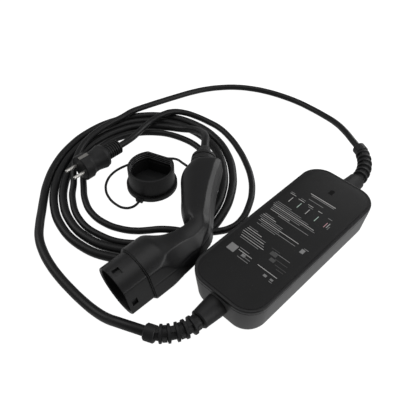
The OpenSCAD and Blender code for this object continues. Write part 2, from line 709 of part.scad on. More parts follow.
// Moulded plug: round face, waisted grip and a ribbed tail, turned about the pin direction
module plug_body() {
    color("black") at_plug() difference() {
        rotate([0, 90, 0]) {
            rotate_extrude() polygon([[0, 0], [plug_r - 1, 0], [plug_r, 1], [plug_r, 12], [plug_r - 3, 17],
                [plug_r - 3.6, 24], [plug_r - 2.4, 31], [plug_r - 1, 37], [plug_r - 2.5, 42],
                [plug_tail_r + 3, plug_l], [plug_tail_r - 2.4, plug_l], [plug_tail_r - 2.4, plug_l + plug_tail_l],
                [0, plug_l + plug_tail_l]]);
            for (i = [0:plug_ribs - 1]) translate([0, 0, plug_l + 1.5 + i * (plug_tail_l - 8) / plug_ribs])
                cylinder(r = plug_tail_r + 1.2 - 0.2 * i, h = 3);
            translate([0, 0, plug_l + plug_tail_l - 6]) cylinder(r = plug_tail_r, h = 6);
        }
        translate([-1, 0, 0]) rotate([0, 90, 0]) cylinder(r = insert_r + slip, h = insert_t + 1);
        for (z = [-1, 1]) translate([-1, -earth_w / 2 - slip, z * (plug_r - 0.9) - 1.6])
            cube([17, earth_w + 2 * slip, 3.2]);
    }
}

module plug_insert() {
    color("dimgray") at_plug() rotate([0, 90, 0]) difference() {
        cylinder(r = insert_r, h = insert_t);
        for (y = [-1, 1]) translate([0, y * pin_pitch / 2, -1]) cylinder(r = shank_r + slip, h = insert_t + 2);
    }
}

module line_pins() {
    color("silver") at_plug() for (y = [-1, 1]) translate([insert_t, y * pin_pitch / 2, 0]) rotate([0, -90, 0]) {
        rotate_extrude() polygon([[0, 0], [shank_r, 0], [shank_r, shank_l], [pin_r, shank_l],
            [pin_r, pin_l + insert_t - pin_tip], [pin_r - 0.8, pin_l + insert_t], [0, pin_l + insert_t]]);
    }
}

module earth_contacts() {
    color("silver") at_plug() for (z = [-1, 1]) translate([0.5, -earth_w / 2, z * (plug_r - 1.2) - earth_t / 2])
        cube([15, earth_w, earth_t]);
}

// Short straight piece of cord that joins the coil tangentially
module lead(from, to, d) {
    v = to - from;
    translate(from) rotate([0, acos(v[2] / norm(v)), atan2(v[1], v[0])]) cylinder(d = d, h = norm(v));
}

module cord_coil() {
    edge = coil_h / 2 - 0.5;
    color("black") {
        translate([coil_c[0], coil_c[1], 0]) rotate_extrude() translate([(coil_in_r + coil_out_r) / 2, coil_h / 2])
            plate_2d(coil_out_r - coil_in_r, coil_h, edge);
        lead(coil_point(ev_in), lead_end(ev_in, -1), ev_cord_d);
        lead(coil_point(ev_out), lead_end(ev_out, 1), ev_cord_d);
        lead(coil_point(mains_in), lead_end(mains_in, -1), mains_cord_d);
        lead(coil_point(mains_out), lead_end(mains_out, 1), mains_cord_d);
    }
}

module vehicle_cord_lead() { color("black") tube(ev_lead_route, ev_cord_d, 10); }
module vehicle_cord_tail() { color("black") tube(ev_tail_route, ev_cord_d, 10); }
module mains_cord_lead() { color("black") tube(mains_lead_route, mains_cord_d, 10); }
module mains_cord_tail() { color("black") tube(mains_tail_route, mains_cord_d, 10); }

box_tub();
box_lid();
face_film();
lid_gasket();
housing_screws();
circuit_board();
power_relays();
leakage_sensor();
supply_transformer();
filter_capacitors();
surge_absorbers();
vehicle_terminals();
mains_terminals();
indicator_lamp();
light_guide();
vehicle_cores();
mains_cores();
vehicle_strain_relief();
mains_strain_relief();
connector_shroud();
shroud_seal();
contact_carrier();
power_contacts();
pilot_contacts();
handle_shell_upper();
handle_shell_lower();
handle_cores();
coding_board();
cord_gland();
dust_cap();
cap_tether();
plug_body();
plug_insert();
line_pins();
earth_contacts();
vehicle_cord_lead();
vehicle_cord_tail();
mains_cord_lead();
mains_cord_tail();
cord_coil();
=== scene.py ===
"""Portable EV charger: lays its cords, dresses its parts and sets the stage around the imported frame."""

import math

import bmesh
import bpy
from mathutils import Euler, Matrix, Vector


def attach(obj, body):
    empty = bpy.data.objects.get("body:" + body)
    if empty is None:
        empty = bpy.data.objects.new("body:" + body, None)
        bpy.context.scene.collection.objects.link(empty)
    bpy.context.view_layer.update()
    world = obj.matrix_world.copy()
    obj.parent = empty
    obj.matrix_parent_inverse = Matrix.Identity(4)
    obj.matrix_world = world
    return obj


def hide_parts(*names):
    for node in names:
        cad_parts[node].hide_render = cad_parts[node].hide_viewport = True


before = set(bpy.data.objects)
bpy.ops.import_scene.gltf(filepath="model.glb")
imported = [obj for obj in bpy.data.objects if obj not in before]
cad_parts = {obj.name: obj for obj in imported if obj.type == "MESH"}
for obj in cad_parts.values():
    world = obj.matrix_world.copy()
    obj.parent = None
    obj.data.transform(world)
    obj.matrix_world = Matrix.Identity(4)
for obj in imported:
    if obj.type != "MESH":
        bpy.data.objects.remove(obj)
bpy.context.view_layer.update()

bl_info = {
    "name": "Portable EV charger",
    "version": (1, 0, 0),
    "blender": (4, 5, 0),
    "location": "View3D > Sidebar > Charger",
    "description": "Lays the charger's cords, dresses its parts and sets the stage",
    "category": "Object",
}

MM = 0.001
# Distance in metres within which points count as one
CLOSE = 1e-6

# Where the photograph was taken from, what it looks at, and its lens
CAMERA_PLACE = Vector((-367.6, -214.6, 527.0))
CAMERA_AIM = Vector((-2.1, 147.1, 0.0))
CAMERA_LENS = 47.0
CAMERA_SENSOR = 36.0

# Places where the cords leave what holds them, in millimetres, and their way there
BOX_EXIT_VEHICLE = Vector((-202.8, 31.8, 28.0))
BOX_EXIT_VEHICLE_WAY = Vector((-0.4226, 0.9063, 0.0))
BOX_EXIT_MAINS = Vector((220.6, 38.2, 28.0))
BOX_EXIT_MAINS_WAY = Vector((0.4695, 0.8829, 0.0))
GLAND_EXIT = Vector((44.7, 183.9, 43.8))
HANDLE_WAY = Vector((0.755, 0.656, -0.015))
PLUG_EXIT = Vector((-27.0, 291.0, 28.8))
PLUG_WAY = Vector((1.0, 0.0, 0.0))

# How far each cord's end reaches into its holder, and how far it runs straight outside
CORD_TUCK = 8.0
VEHICLE_STRAIGHT = 12.0
GLAND_STRAIGHT = 13.0
MAINS_STRAIGHT = 16.0
PLUG_STRAIGHT = 10.0

# Route points between those ends and the coil
VEHICLE_TAIL = (
    (-214, 62, 23), (-218, 80, 16), (-220, 100, 10.4), (-221, 122, 7.6), (-221, 147, 6.5),
    (-220, 172, 6.2), (-217, 197, 6.2), (-211, 222, 6.2), (-202, 244, 6.2), (-188, 264, 6.2),
    (-173, 282, 6.2), (-157, 301, 6.2),
)
VEHICLE_LEAD = ((80, 272, 12.8), (83.5, 248, 22), (79, 224, 32), (68, 205.5, 40))
MAINS_LEAD = (
    (243, 76, 25), (258, 102, 19), (269, 130, 12.4), (276, 160, 7.6), (278, 189, 5.3), (274, 217, 4.9),
    (266, 245, 4.9), (254, 271, 4.9), (238, 294, 4.9), (219, 312, 4.9), (197, 327, 5), (171, 338, 5.8),
    (141, 345, 8), (110, 350, 11.2), (86, 353, 14), (67, 355, 16.2), (50, 356.5, 17.5),
)
MAINS_TAIL = (
    (37, 89.5, 4.9), (60, 104.5, 4.9), (80, 124, 4.9), (98, 149, 4.9), (114, 178, 4.9), (126, 208, 4.9),
    (132, 236, 4.9), (131, 261, 4.9), (125, 282, 7.5), (114, 297, 12.6), (98, 308, 17.4), (78, 313, 19.2),
    (56, 312, 20), (35, 306.5, 22), (16, 299.5, 24.6), (0, 294, 27),
)
TETHER_START = Vector((-64.0, 205.0, 2.5))
TETHER = (
    (-71.4, 202.4, 2.4), (-80, 203, 2.2), (-88, 209, 2.2), (-92, 224, 2.2), (-90, 242, 2.2),
    (-83, 257, 2.2), (-71, 269, 2.2), (-55, 276, 2.2), (-37, 276, 2.6), (-18, 269, 4), (-2, 258, 7),
    (9, 243, 12), (13, 227, 19), (13, 210, 28), (7.5, 191, 36), (4.5, 180, 40),
)

# The vehicle cord's coil: angles in degrees, the height it rests at and how it climbs toward its inner end
COIL_MIDDLE = Vector((-35.0, 231.0, 0.0))
COIL_OUTER_ANGLE = 860
COIL_INNER_ANGLE = 31
COIL_ANGLE_STEP = 18
COIL_START_ANGLE = 15
COIL_OVAL_ANGLE = 38
COIL_REST = 6.2
COIL_CLIMB_ANGLE = 68
COIL_CLIMB = 0.06

# Where the mains cord lies in the coil: angle, distance from the coil's middle, height
MAINS_WIND = (
    (62, 141, 17.8), (72, 132, 17.8), (84, 124, 17.8), (97, 116.5, 17.7), (111, 108.5, 17),
    (125, 103, 14.5), (140, 98.6, 8.8), (155, 102.6, 5.3), (180, 111, 4.9), (200, 115.5, 4.9),
    (218, 118.5, 4.9), (236, 117, 4.9), (254, 113.5, 4.9), (270, 110, 4.9), (290, 106, 4.9),
    (308, 104, 4.9), (330, 105, 4.9), (352, 108, 4.9), (376, 110, 4.9), (400, 110.5, 4.9),
    (424, 108, 4.9), (446, 103, 4.9), (468, 97, 4.9), (486, 89, 4.9), (504, 85, 4.9), (522, 87.5, 4.9),
    (540, 92, 4.9), (558, 95, 4.9), (572, 96.5, 4.9), (584, 98, 5.6), (593, 101, 9), (601, 107, 14.2),
    (608, 116, 17.8), (615, 127.5, 18.2), (622, 139, 17.8), (629, 149, 14.4), (636, 155.5, 9.4),
    (644, 159, 5.9),
)

# Control box: half length and half width, heights from the floor up, edge radii, and the least angle between
# the faces at a rim
BOX_HALF_LENGTH = 125.0
BOX_HALF_WIDTH = 50.5
TUB_TOP = 44.6
TUB_DRAFT = 3.0
TUB_RIM_EDGE = 0.9
LID_FOOT = 45.4
LID_FOOT_EDGE = 0.6
LID_TOP = 50.0
LID_TOP_EDGE = 1.2
LID_BORDER = 2.5
LID_RECESS = 0.5
FILM_MARGIN = 4.0
FILM_TOP = 49.95
FILM_EDGE = 0.2
RIM_ANGLE = math.radians(30)

# Vehicle connector: the middle of its mouth, its turn, and the bend between its barrel and its handle
MOUTH = Vector((-194.0, 91.0, 32.3))
CONNECTOR_TURN = Euler((math.radians(-7.5), math.radians(-6.5), math.radians(-4.5)))
BEND_CORNER = 122.1
BEND_RADIUS = 12.0
BEND_ANGLE = math.radians(46)
BEND_START = BEND_CORNER - BEND_RADIUS * math.tan(BEND_ANGLE / 2)
BEND_LENGTH = BEND_RADIUS * BEND_ANGLE
BEND_END = BEND_START + BEND_LENGTH
HANDLE_LENGTH = 112.5
HANDLE_END = BEND_END + HANDLE_LENGTH

# Rings of the housing: place on the spine, reach to the left, reach to the flat back, half thickness,
# squareness, upper corner cut and its lean in degrees, lower corner cut
HOUSING_RINGS = (
    (33.6, 35, 28.5, 35, 2, 36, 20, 60),
    (48, 35, 28.5, 35, 2, 34, 20, 60),
    (60, 35, 28.5, 34.5, 2, 31.6, 20, 60),
    (65, 31.5, 28.5, 32.5, 2.02, 29.4, 20, 58),
    (71, 24, 28.5, 29.5, 2.05, 27.2, 20, 55),
    (78, 16.5, 28.5, 26.5, 2.1, 25.2, 20, 50),
    (88, 10, 28.5, 23.5, 2.2, 23.4, 20, 46),
    (98, 7, 27, 21.5, 2.2, 22.7, 20, 40),
    (108, 6.6, 24.8, 21, 2.2, 23.6, 24, 35.5),
    (BEND_START, 6.5, 21.6, 20.8, 2.3, 23.2, 30, 31),
    (BEND_START + BEND_LENGTH / 2, 8, 18.8, 21, 2.4, 22.2, 38, 26.5),
    (BEND_END, 10.5, 17, 21.6, 2.5, 21.4, 44, 24),
    (BEND_END + 5, 16.2, 16.8, 21.9, 2.6, 21.6, 45, 23.3),
    (BEND_END + 16, 20.5, 16.6, 22.2, 2.6, 22.1, 45, 22.6),
    (BEND_END + 28, 22.5, 16.8, 22, 2.6, 22.3, 45, 22.4),
    (BEND_END + 38, 23.2, 17.2, 22, 2.6, 22.5, 45, 22),
    (BEND_END + 62, 25.8, 19, 21.5, 2.6, 23.5, 45, 22.5),
    (BEND_END + 82, 28, 22, 21.5, 2.4, 25, 45, 24),
    (BEND_END + 94, 26.5, 24.5, 21.2, 2.4, 26, 45, 25),
    (BEND_END + 104, 21.5, 26, 20.5, 2.3, 26.4, 45, 25),
    (BEND_END + 110, 17.5, 26.5, 19.5, 2.2, 26.4, 45, 25),
    (HANDLE_END, 15.5, 25, 17.5, 2.1, 25, 45, 23),
)
# Corners of a ring, the gap aimed at between rings, how far the section would bulge past its flat back, how
# far its ends close in, and the depth of the seam between the shells
RING_SIDES = 144
RING_TURNS = [2 * math.pi * step / RING_SIDES for step in range(RING_SIDES)]
RING_GAP = 2.5
FLAT_BULGE = 1.25
END_INSET = 3.2
SEAM_DEPTH = 0.35

# Collar between handle and cord: distance past the handle's end, radius
COLLAR_PROFILE = (
    (-6, 0), (-6, 15), (1.2, 15), (1.6, 17.2), (2.8, 17.9), (9, 17.9), (10.2, 17.3), (10.6, 16),
    (11.8, 16), (12.2, 17.3), (13.2, 17.7), (17, 17.4), (18.6, 16.2), (20, 13.6), (25, 11.4), (31, 9.6),
    (37.2, 8.2), (38.4, 7.2), (38.4, 0),
)
TURNED_SIDES = 64

# D-shaped shroud, and its lock windows as low and high corners in the connector's frame
SHROUD_LENGTH = 34.5
SHROUD_RADIUS = 32.0
SHROUD_FLAT = 25.6
SHROUD_WALL = 3.0
SHROUD_CHAMFER = 0.5
SHROUD_LEAD_IN = 0.6
SHROUD_GAP = 1.5
LOCK_WINDOWS = (((5, -9, 20), (13.6, 0, 40)), ((4, -40, -8), (12, -24, 0.6)))
# Band behind the lock windows: distance from the mouth, distance inside the shroud's skin
SHROUD_BAND = ((2.5, 2.8), (16, 2.8), (16, 3.6), (2.5, 3.6))

# Cores in the handle: reach to the left and up behind each contact, distance behind the mouth where they run
# straight, then the bundle's place on the spine and its reach to the left
CORE_STARTS = ((0, 17), (-14.5, 9), (0, 0), (-14.5, -9), (0, -17))
CORE_BEHIND = (44, 54)
CORE_LINE = (
    (76, -9), (90, -9), (104, -8.5), (BEND_START + BEND_LENGTH / 2, -5), (BEND_END, -1),
    (BEND_END + 24, 1.5), (BEND_END + 60, 2), (HANDLE_END - 8, -1), (HANDLE_END + 8, 0),
)
CORE_PITCH = 5.0
CORE_RADIUS = 1.7

# Ribs around the plug's tail, counted back from where the cord leaves it
PLUG_RIBS = 6
PLUG_RIB_WIDTH = 1.8
PLUG_RIB_FOOT = 7.5
PLUG_RIB_RADIUS = 10.4

# Sealing lips in the dust cap: height and reach of each, with a flat on one side
CAP_MIDDLE = Vector((-28.0, 219.0, 0.0))
CAP_FLAT_TURN = math.radians(19)
CAP_FLAT_DEPTH = 6.0
CAP_LIPS = ((32.6, 30.2), (29.4, 29.9), (26.2, 29.6))
CAP_LIP_RADIUS = 0.8
CAP_LIP_POINTS = 96

# Printed fields on the face, in millimetres: x, y, length along x, length along y, ink
PRINT_FIELDS = (
    (72.4, 0, 1.1, 38, "pale"), (69.8, -1, 1.1, 34, "faint"), (62.4, 4, 0.8, 22, "faint"),
    (57.5, 36, 0.8, 6, "faint"), (55, 34, 0.8, 9, "pale"), (56.5, 19, 0.8, 7, "faint"),
    (53.5, 20, 0.8, 9, "pale"), (54, 6, 0.8, 8, "pale"), (51, 4, 0.8, 7, "faint"),
    (53.5, -9, 0.8, 6, "pale"), (52, -25, 0.8, 6, "faint"), (45.5, 31, 10, 0.9, "pale"),
    (44.5, 17, 10, 0.9, "green"), (43, 3, 10, 0.9, "pale"), (41, -12, 10, 0.9, "green"),
    (40.5, -26, 9, 1.1, "red"), (41.5, -29, 9, 0.8, "pale"), (38.5, -31.5, 6, 0.8, "faint"),
    (31.6, 30, 0.8, 22, "faint"), (28.8, 22, 0.8, 40, "faint"), (26, 16, 0.8, 54, "faint"),
    (23.2, 10, 0.8, 62, "pale"), (20.4, 8, 0.8, 64, "faint"), (17.6, 18, 0.8, 44, "faint"),
    (14.8, 24, 0.8, 30, "pale"), (12, 2, 0.8, 46, "faint"), (4.6, 32, 0.8, 14, "faint"),
    (1.8, 30, 0.8, 20, "pale"), (-1, 24, 0.8, 34, "faint"), (-3.8, 24, 0.8, 34, "faint"),
    (-6.6, 8, 0.8, 58, "pale"), (-9.4, 22, 0.8, 32, "faint"), (-12.2, 6, 0.8, 52, "faint"),
    (-15, 22, 0.8, 28, "faint"), (-26, 32, 0.8, 14, "faint"), (-29, 28, 0.8, 22, "pale"),
    (-32.4, 24, 0.8, 32, "faint"), (-35.8, 24, 0.8, 32, "pale"), (-39.2, 22, 0.8, 34, "faint"),
    (-42.6, 20, 0.8, 34, "pale"), (-46, 22, 0.8, 28, "faint"), (-12.6, -31, 6.5, 5, "faint"),
    (-7.6, -33, 0.9, 6, "faint"), (-33, -8, 0.7, 12, "dim"), (-36, -20, 0.7, 22, "faint"),
    (-39, -10, 6, 9, "dim"), (-43.5, -24, 0.7, 18, "dim"), (-47, -14, 5, 7, "dim"),
    (-50, -28, 0.7, 16, "dim"), (-54, -30, 0.7, 10, "dim"), (-58.5, 18, 0.8, 14, "faint"),
    (-62, 14, 0.8, 20, "pale"), (-65.4, 14, 4.2, 5, "faint"), (-66.5, 8, 0.8, 10, "faint"),
    (-70.5, 11, 0.8, 16, "faint"), (-63.4, -20, 0.8, 28, "pale"), (-69.7, -22, 3.4, 4.4, "faint"),
    (-69.4, -31, 2.6, 4, "faint"), (-72.6, -31.5, 0.8, 4.6, "faint"), (-64.5, 31.5, 11, 11, "faint"),
)
INKS = ("pale", "faint", "dim", "green", "red")
PRINT_HEIGHT = 49.96
PRINT_THICKNESS = 0.1

# Window over the lamp: a disc and a skirt that flares away from it
LAMP_MIDDLE = Vector((94.0, 1.0, 49.9))
LAMP_RADIUS = 3.2
LAMP_SIDES = 32
LAMP_RAISE = 0.12
LAMP_SKIRT_MIDDLE = Vector((90.2, 1.0, 49.95))
LAMP_SKIRT = (4, 5, 0.12)
LAMP_FLARE = 1.35

# Colour of the dust on the finishes
DUST_COLOUR = (0.30, 0.29, 0.28, 1.0)
# Finish of each part inside the box and the handle
INNER_FINISHES = {
    "lid_gasket": "rubber", "housing_screws": "steel", "circuit_board": "board", "power_relays": "relay",
    "leakage_sensor": "sensor", "supply_transformer": "winding", "filter_capacitors": "can",
    "surge_absorbers": "relay", "vehicle_terminals": "terminal", "mains_terminals": "terminal",
    "indicator_lamp": "lamp", "light_guide": "guide", "vehicle_cores": "core", "mains_cores": "core",
    "coding_board": "board",
}
# Finish and slot of each outer part that keeps the shape of its solid
OUTER_COPIES = {
    "vehicle_strain_relief": ("rubber", "rubber_black"), "mains_strain_relief": ("rubber", "rubber_black"),
    "shroud_seal": ("rubber", "rubber_black"),
    "contact_carrier": ("insert", "insert_grey"), "power_contacts": ("contact", "contact_metal"),
    "pilot_contacts": ("contact", "contact_metal"),
    "dust_cap": ("rubber", "rubber_black"), "plug_body": ("rubber", "rubber_black"),
    "plug_insert": ("insert", "insert_grey"), "line_pins": ("contact", "contact_metal"),
    "earth_contacts": ("contact", "contact_metal"),
}

# Stage, in metres and watts: the floor, the strength of the surroundings, and the name, place, aim, size and
# power of each light
FLOOR_HALF = 6.0
FLOOR_DROP = 0.0002
FLOOR_GREY = (0.16, 0.16, 0.16, 1.0)
FLOOR_MIRRORED = 0.5
SKY_BASE = 0.2
SKY_SEEN = 0.8
SKY_MIRRORED = 0.05
LIGHTS = (
    ("key_light", (0.55, -0.85, 0.75), (0.0, 0.0, 0.03), 0.7, 4.5),
    ("back_light", (-0.5, 1.2, 1.0), (-0.05, 0.2, 0.0), 0.9, 5.5),
    ("top_light", (0.2, 0.25, 1.6), (0.0, 0.15, 0.0), 1.2, 6.5),
    ("side_light", (1.1, 0.1, 0.35), (0.0, 0.15, 0.04), 0.6, 3.0),
    ("front_light", (0.2, -1.0, 0.3), (0.0, 0.0, 0.02), 0.6, 3.0),
)


class Wire:
    """One output of a material's nodes, which takes part in sums."""

    def __init__(self, tree, socket):
        self.tree = tree
        self.socket = socket

    def other(self, name):
        """Another output of the same node."""
        return Wire(self.tree, self.socket.node.outputs[name])

    def _math(self, operation, first, second):
        return add(self.tree, "ShaderNodeMath", {"operation": operation}, {0: first, 1: second})

    def __add__(self, other):
        return self._math("ADD", self, other)

    def __radd__(self, other):
        return self._math("ADD", other, self)

    def __sub__(self, other):
        return self._math("SUBTRACT", self, other)

    def __rsub__(self, other):
        return self._math("SUBTRACT", other, self)

    def __mul__(self, other):
        return self._math("MULTIPLY", self, other)

    def __rmul__(self, other):
        return self._math("MULTIPLY", other, self)


def add(tree, kind, settings=None, values=None, out=0):
    """Make one node, set it up, feed its sockets and give back one of its outputs."""
    node = tree.nodes.new(kind)
    for key, value in (settings or {}).items():
        setattr(node, key, value)
    for key, value in (values or {}).items():
        if isinstance(value, Wire):
            tree.links.new(value.socket, node.inputs[key])
        else:
            node.inputs[key].default_value = value
    return Wire(tree, node.outputs[out]) if node.outputs else None


def shade(colour, factor):
    """The colour made darker or lighter, with full alpha."""
    return (*[min(1.0, channel * factor) for channel in colour[:3]], 1.0)


def new_tree(name):
    """A new material with an empty node tree."""
    material = bpy.data.materials.new(name)
    material.use_nodes = True
    material.node_tree.nodes.clear()
    return material, material.node_tree


def moulded(name, colour, roughness, uneven=0.12, grain=1400.0, depth=0.02, tone=0.25, metallic=0.0,
        specular=0.5, dust=0.0):
    """A moulded or cast finish: cloudy colour, handled patches in the gloss, fine grain, a little dust."""
    material, tree = new_tree(name)
    where = add(tree, "ShaderNodeTexCoord", out="Object")
    cloud = add(tree, "ShaderNodeTexNoise", None, {"Vector": where, "Scale": 38.0, "Detail": 4.0})
    patch = add(tree, "ShaderNodeTexNoise", None,
        {"Vector": where, "Scale": 11.0, "Detail": 2.0, "Roughness": 0.4})
    spark = add(tree, "ShaderNodeTexNoise", None, {"Vector": where, "Scale": grain, "Detail": 2.0})
    speck = add(tree, "ShaderNodeTexNoise", None, {"Vector": where, "Scale": 520.0, "Detail": 1.0})
    spots = add(tree, "ShaderNodeMapRange", {"clamp": True},
        {"Value": speck, "From Min": 0.66, "From Max": 0.8})
    body = add(tree, "ShaderNodeMix", {"data_type": "RGBA"},
        {0: cloud, 6: shade(colour, 1 - tone), 7: shade(colour, 1 + tone)}, out=2)
    tint = add(tree, "ShaderNodeMix", {"data_type": "RGBA"},
        {0: spots * dust, 6: body, 7: DUST_COLOUR}, out=2)
    gloss = roughness + (patch - 0.5) * uneven + (spark - 0.5) * (uneven * 0.5)
    bump = add(tree, "ShaderNodeBump", None, {"Strength": 0.5, "Distance": depth * MM, "Height": spark})
    surface = add(tree, "ShaderNodeBsdfPrincipled", None, {"Base Color": tint, "Roughness": gloss,
        "Normal": bump, "Metallic": metallic, "Specular IOR Level": specular})
    add(tree, "ShaderNodeOutputMaterial", None, {"Surface": surface})
    return material


FINISHES = {}


def finishes():
    """Every finish of the charger by name, made once from the colours in the panel."""
    if FINISHES:
        return FINISHES
    tones = bpy.context.scene.charger_colours
    FINISHES.update({
        "shell": moulded("shell_black_finish", tones.shell, 0.36, uneven=0.10, grain=2200, depth=0.012,
            dust=0.03, specular=0.3),
        "case": moulded("case_grey_finish", tones.case, 0.40, uneven=0.08, grain=2600, depth=0.02,
            dust=0.02),
        "lid": moulded("case_black_finish", tones.lid, 0.34, uneven=0.08, grain=2600, depth=0.014,
            specular=0.3),
        "film": moulded("film_black_finish", tones.film, 0.62, uneven=0.06, grain=3000, depth=0.008,
            dust=0.05, specular=0.22),
        "rubber": moulded("rubber_black_finish", tones.rubber, 0.50, uneven=0.14, grain=1500, depth=0.03,
            dust=0.05, specular=0.24),
        "cord": moulded("cord_black_finish", tones.cord, 0.42, uneven=0.14, grain=1100, depth=0.03,
            dust=0.03, specular=0.26),
        # The cap's own rubber made 2.5 times lighter on the lips, a painted highlight, with more gloss
        "lip_painted_highlight": moulded("lip_painted_highlight_finish", shade(tones.rubber, 2.5), 0.34, uneven=0.1, specular=0.6),
        "insert": moulded("insert_grey_finish", tones.insert, 0.48, grain=1800, depth=0.015),
        "contact": moulded("contact_metal_finish", (0.42, 0.41, 0.39), 0.30, uneven=0.2, grain=900,
            metallic=1.0, tone=0.08),
        "steel": moulded("screw_steel_finish", (0.55, 0.55, 0.56), 0.34, uneven=0.2, grain=900,
            metallic=1.0),
        "board": moulded("board_green_finish", (0.02, 0.16, 0.06), 0.45, grain=700),
        "relay": moulded("relay_blue_finish", (0.02, 0.09, 0.30), 0.40),
        "sensor": moulded("sensor_yellow_finish", (0.75, 0.52, 0.05), 0.45),
        "winding": moulded("winding_orange_finish", (0.62, 0.22, 0.04), 0.40),
        "can": moulded("can_violet_finish", (0.10, 0.05, 0.22), 0.35),
        "terminal": moulded("terminal_green_finish", (0.05, 0.34, 0.10), 0.45),
        "lamp": moulded("lamp_green_finish", (0.10, 0.60, 0.18), 0.25),
        "guide": moulded("guide_dark_finish", (0.002, 0.002, 0.002), 0.6, uneven=0.05, depth=0.004,
            specular=0.1),
        "core": moulded("core_wire_finish", (0.30, 0.13, 0.05), 0.45),
        "pale": moulded("print_pale_finish", (0.42, 0.42, 0.41), 0.6, depth=0.006),
        "faint": moulded("print_faint_finish", (0.19, 0.19, 0.19), 0.6, depth=0.006),
        "dim": moulded("print_dim_finish", (0.045, 0.045, 0.045), 0.6, depth=0.006),
        "green": moulded("print_green_finish", (0.40, 0.52, 0.45), 0.6, depth=0.006),
        "red": moulded("print_red_finish", (0.42, 0.24, 0.26), 0.6, depth=0.006),
    })
    return FINISHES


def show(name, data, replaced=()):
    """Put a finished mesh or curve into the scene, on the root."""
    piece = bpy.data.objects.new(name, data)
    bpy.context.scene.collection.objects.link(piece)
    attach(piece, "root")
    if replaced:
        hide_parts(*replaced)
    return piece


def wear_piece(name, bm, finish_names, replaced=(), sharp=32.0):
    """Show a bmesh as a finished piece, with smooth faces and edges that are crisp past an angle."""
    limit = math.radians(sharp)
    for edge in bm.edges:
        edge.smooth = len(edge.link_faces) == 2 and edge.calc_face_angle(0.0) < limit
    for face in bm.faces:
        face.smooth = True
    mesh = bpy.data.meshes.new(name)
    bm.to_mesh(mesh)
    bm.free()
    if not mesh.polygons:
        raise RuntimeError(f"{name} has no faces")
    for finish_name in finish_names:
        mesh.materials.append(finishes()[finish_name])
    show(name, mesh, replaced)


def round_curve(name, radius, finish_name, sides, steps):
    """A round curve without any line yet; the radius is in metres."""
    curve = bpy.data.curves.new(name, "CURVE")
    curve.dimensions = "3D"
    curve.resolution_u = steps
    curve.bevel_depth = radius
    curve.bevel_resolution = sides
    curve.use_fill_caps = True
    curve.materials.append(finishes()[finish_name])
    return curve


def add_line(curve, points):
    """Give a curve a smooth open line through points in metres."""
    spline = curve.splines.new("BEZIER")
    spline.bezier_points.add(len(points) - 1)
    for knot, point in zip(spline.bezier_points, points):
        knot.co = point
        knot.handle_left_type = knot.handle_right_type = "AUTO"


def lay_cord(name, points, diameter, finish_name, replaced):
    """A round cord along points in millimetres, as one open curve, and its length in metres."""
    curve = round_curve(name, diameter / 2, finish_name, sides=6, steps=8)
    add_line(curve, [Vector(point) * MM for point in points])
    piece = show(name, curve, replaced)
    length = sum((Vector(a) - Vector(b)).length for a, b in zip(points, points[1:])) * MM
    return piece, length


def wound(angle, reach, height):
    """A point of the coil at an angle in degrees, a distance from its middle and a height."""
    turn = math.radians(angle)
    return COIL_MIDDLE + Vector((reach * math.cos(turn), reach * math.sin(turn), height))


def vehicle_wind(angle):
    """A point of the vehicle cord's coil, a spiral that is a little oval and climbs at its inner end."""
    sizes = bpy.context.scene.charger_sizes
    spiral = (sizes.coil_start + sizes.coil_pitch * (angle - COIL_START_ANGLE) / 360) / MM
    reach = spiral * (1 + sizes.coil_oval * math.cos(math.radians(2 * (angle - COIL_OVAL_ANGLE))))
    return wound(angle, reach, COIL_REST + COIL_CLIMB * max(0, COIL_CLIMB_ANGLE - angle))


def add_block(bm, middle, size):
    """Add a block around a middle, in millimetres, and give back its corners."""
    place = Matrix.Translation(Vector(middle) * MM) @ Matrix.Diagonal((*(Vector(size) * MM), 1.0))
    return bmesh.ops.create_cube(bm, size=1.0, matrix=place)["verts"]


def soften(bm, edges, radius, segments):
    """Round edges by a radius in millimetres."""
    bmesh.ops.bevel(bm, geom=edges, offset=radius * MM, offset_type="OFFSET", affect="EDGES",
        segments=segments, profile=0.5, material=-1)


def rounded_block(half_length, half_width, foot, top, corner):
    """A block between two heights with rounded upright corners, in millimetres, as a new bmesh."""
    bm = bmesh.new()
    add_block(bm, (0, 0, (foot + top) / 2), (2 * half_length, 2 * half_width, top - foot))
    upright = [edge for edge in bm.edges if abs(edge.verts[0].co.z - edge.verts[1].co.z) > CLOSE]
    soften(bm, upright, corner, segments=16)
    return bm


def rim_edges(bm, height):
    """The edges all round a block's end at a height in millimetres."""
    return [edge for edge in bm.edges if all(abs(v.co.z - height * MM) < CLOSE for v in edge.verts)
        and len(edge.link_faces) == 2 and edge.calc_face_angle(0.0) > RIM_ANGLE]


def spine_point(along):
    """Place and heading of the housing's middle line at a distance from the mouth."""
    if along <= BEND_START:
        return Vector((along, 0, 0)), 0.0
    turn = min((along - BEND_START) / BEND_RADIUS, BEND_ANGLE)
    place = Vector((BEND_START + BEND_RADIUS * math.sin(turn), BEND_RADIUS * (1 - math.cos(turn)), 0))
    rest = max(0.0, along - BEND_END)
    return place + rest * Vector((math.cos(turn), math.sin(turn), 0)), turn


def leftward(heading):
    """The way to the left of the spine at a heading."""
    return Vector((-math.sin(heading), math.cos(heading), 0))


def ring_reach(turn, left, flat, half, square, upper_cut, lean, lower_cut):
    """Distance from the spine to the housing's skin at a turn around it."""
    across, up = math.cos(turn), math.sin(turn)
    side = left if across > 0 else flat * FLAT_BULGE
    reach = (abs(across / side) ** square + abs(up / half) ** square) ** (-1 / square)
    if across < 0:
        lean = math.radians(lean)
        cuts = ((flat, -across), (upper_cut, up * math.sin(lean) - across * math.cos(lean)),
            (lower_cut, (-up - across) * math.sqrt(0.5)))
        for cut, toward in cuts:
            if toward > 0:
                reach = min(reach, cut / toward)
    return reach


